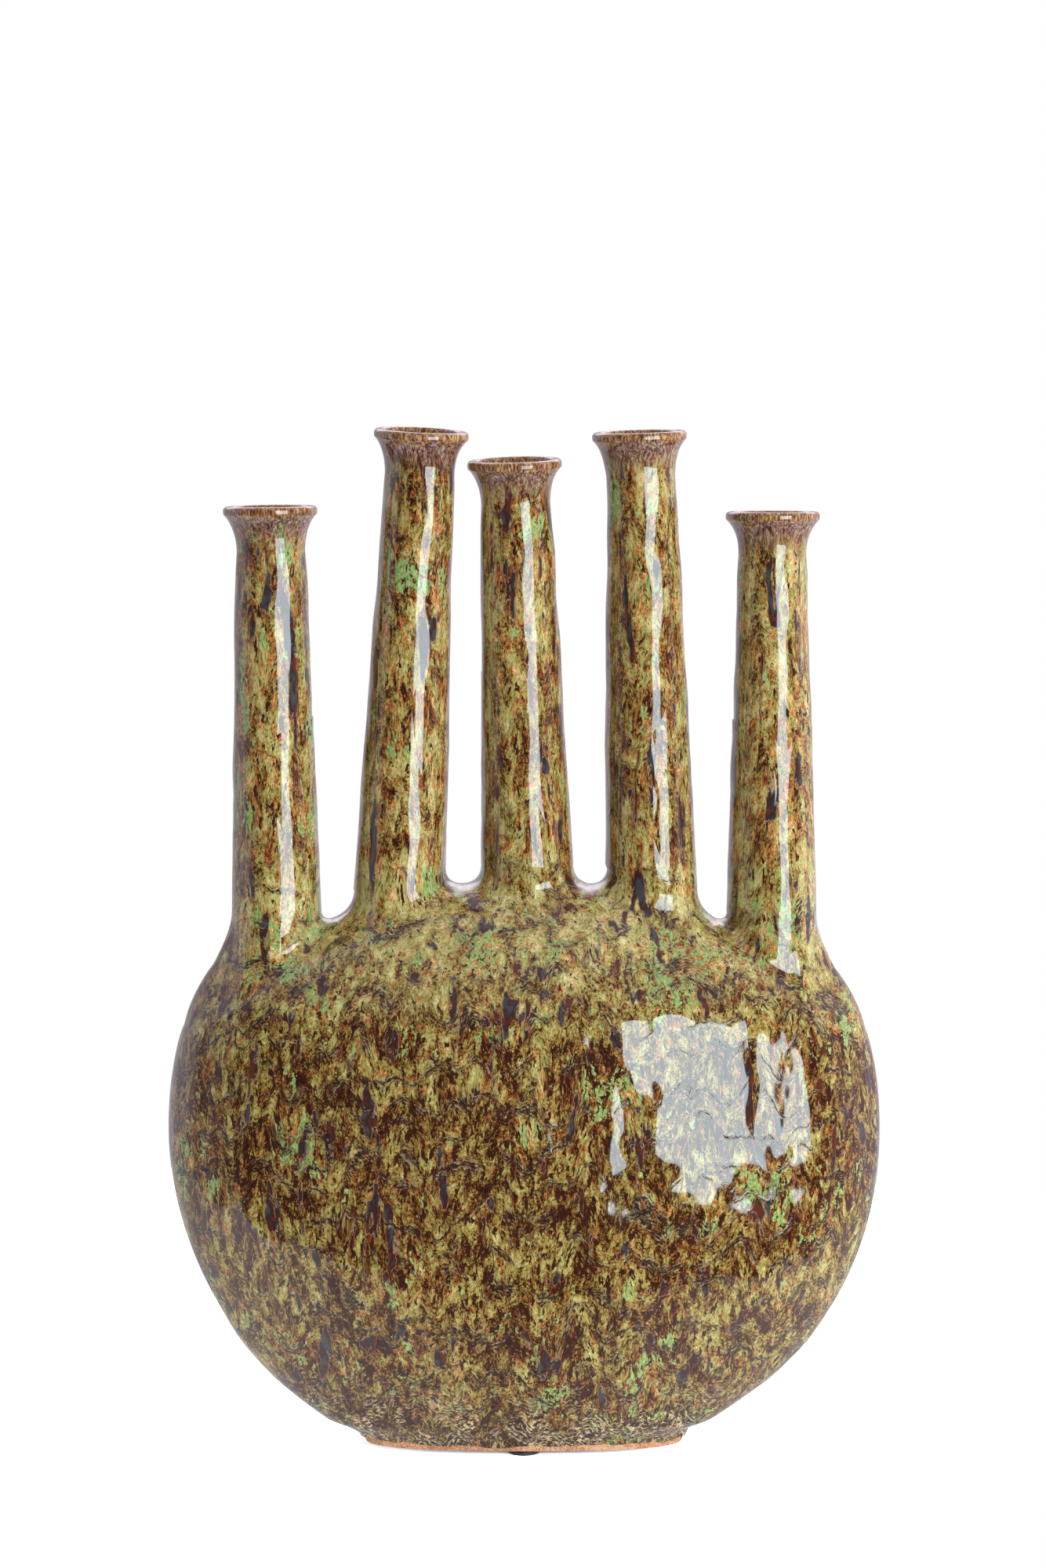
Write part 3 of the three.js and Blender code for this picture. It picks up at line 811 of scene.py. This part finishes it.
# In mirrored rays the table glows, bright behind and beside the vase and dim in front: a painted reflection
# in the glaze
spot = node(tree, "TexCoord", {}, "Object")
beside = node(tree, "SeparateXYZ", {0: spot}, "X")
beside = node(tree, "Math", {0: beside}, operation="ABSOLUTE")
behind = node(tree, "SeparateXYZ", {0: spot}, "Y")
around = node(tree, "Math", {0: beside, 1: behind}, operation="ADD")
sheen = {"Value": around, "From Min": -0.18, "From Max": 0.16, "To Min": 0.04, "To Max": 0.8}
sheen = node(tree, "MapRange", sheen, interpolation_type="SMOOTHSTEP")
sheen = node(tree, "Emission", {"Color": (1, 1, 1, 1), "Strength": sheen})
# To the camera it is white wherever it is open. Under the foot its colour is darkened to grey in an oval
# with the foot's fuller corners, a painted shadow on top of the real one
painted_shadow_reach = 72 * mm
painted_shadow_tone = 0.35
open_tone = 5.0
across = node(tree, "Math", {0: beside, 1: painted_shadow_reach}, operation="DIVIDE")
across = node(tree, "Math", {0: across, 1: foot_fullness}, operation="POWER")
along = node(tree, "Math", {0: behind}, operation="ABSOLUTE")
along = node(tree, "Math", {0: along, 1: painted_shadow_reach * flattening(0)}, operation="DIVIDE")
along = node(tree, "Math", {0: along, 1: foot_fullness}, operation="POWER")
painted_shadow_oval = node(tree, "Math", {0: across, 1: along}, operation="ADD")
# Painted shadow: grey paper in the oval under the foot, white gain outside it
white = {"Value": painted_shadow_oval, "From Min": 0.15, "From Max": 0.65, "To Min": painted_shadow_tone, "To Max": open_tone}
white = node(tree, "MapRange", white)
camera_white_with_painted_shadow = node(tree, "BsdfDiffuse", {"Color": white})
mixed = node(tree, "MixShader", {0: mirrored, 1: lit, 2: sheen})
mixed = node(tree, "MixShader", {0: seen, 1: mixed, 2: camera_white_with_painted_shadow})
node(tree, "OutputMaterial", {"Surface": mixed})
table.data.materials.append(paper)

# The window is taller than wide, and 5 m away, so that every neck mirrors it along its length.
# It points at the place on the belly that mirrors it to the camera
wide, tall, away = 2.8, 3.95, 5.0
turn, rise = math.radians(30.5), math.radians(6.8)
window_strength = 16.8  # watts for each square metre
target = Vector((0.095, -0.047, 0.157))
bpy.ops.object.light_add(type="AREA")
window = bpy.context.object
window.name = "window_light"
window.data.shape = "RECTANGLE"
window.data.size = wide
window.data.size_y = tall
window.data.energy = window_strength * wide * tall
window.data.color = linear("#e3f5fc")[:3]
window.location = target + away * Vector(
    (math.sin(turn) * math.cos(rise), -math.cos(turn) * math.cos(rise), math.sin(rise))
)
window.rotation_euler = (target - window.location).to_track_quat("-Z", "Y").to_euler()

# The room: white to the camera. The glaze mirrors a dark studio in front of it, the white
# backdrop behind and beside it, brightest high up behind, and a soft light overhead
world = bpy.data.worlds.new("studio")
bpy.context.scene.world = world
world.use_nodes = True
tree = world.node_tree
tree.nodes.clear()
way = node(tree, "TexCoord", {}, "Generated")
way_x = node(tree, "SeparateXYZ", {0: way}, "X")
way_y = node(tree, "SeparateXYZ", {0: way}, "Y")
way_z = node(tree, "SeparateXYZ", {0: way}, "Z")
back = {"Value": way_y, "From Min": -0.6, "From Max": 0.2, "To Min": 0.03, "To Max": 0.78}
back = node(tree, "MapRange", back, interpolation_type="SMOOTHSTEP")
over = node(tree, "MapRange", {"Value": way_z, "From Min": 0.35, "From Max": 1.0, "To Max": 0.42})
high = node(tree, "MapRange", {"Value": way_z, "From Min": 0.15, "From Max": 0.5, "To Max": 3.6})
far_back = node(tree, "MapRange", {"Value": way_y, "From Min": 0.45, "From Max": 0.75})
high_back = node(tree, "Math", {0: high, 1: far_back}, operation="MULTIPLY")
mirror = node(tree, "Math", {0: back, 1: over}, operation="MAXIMUM")
mirror = node(tree, "Math", {0: mirror, 1: high_back}, operation="MAXIMUM")
side = {"Value": way_x, "From Min": -0.8, "From Max": 1.0, "To Min": 0.1, "To Max": 2.35}
side = node(tree, "MapRange", side)
seen = node(tree, "LightPath", {}, "Is Camera Ray")
mirrored = node(tree, "LightPath", {}, "Is Glossy Ray")
fill = node(tree, "Background", {"Color": linear("#fffaf4"), "Strength": side})
glint = node(tree, "Background", {"Color": linear("#f1ecfa"), "Strength": mirror})
white = node(tree, "Background", {"Color": (1, 1, 1, 1), "Strength": 1.0})
room = node(tree, "MixShader", {0: mirrored, 1: fill, 2: glint})
room = node(tree, "MixShader", {0: seen, 1: room, 2: white})
node(tree, "OutputWorld", {"Surface": room})

bpy.context.scene.view_settings.view_transform = "Standard"
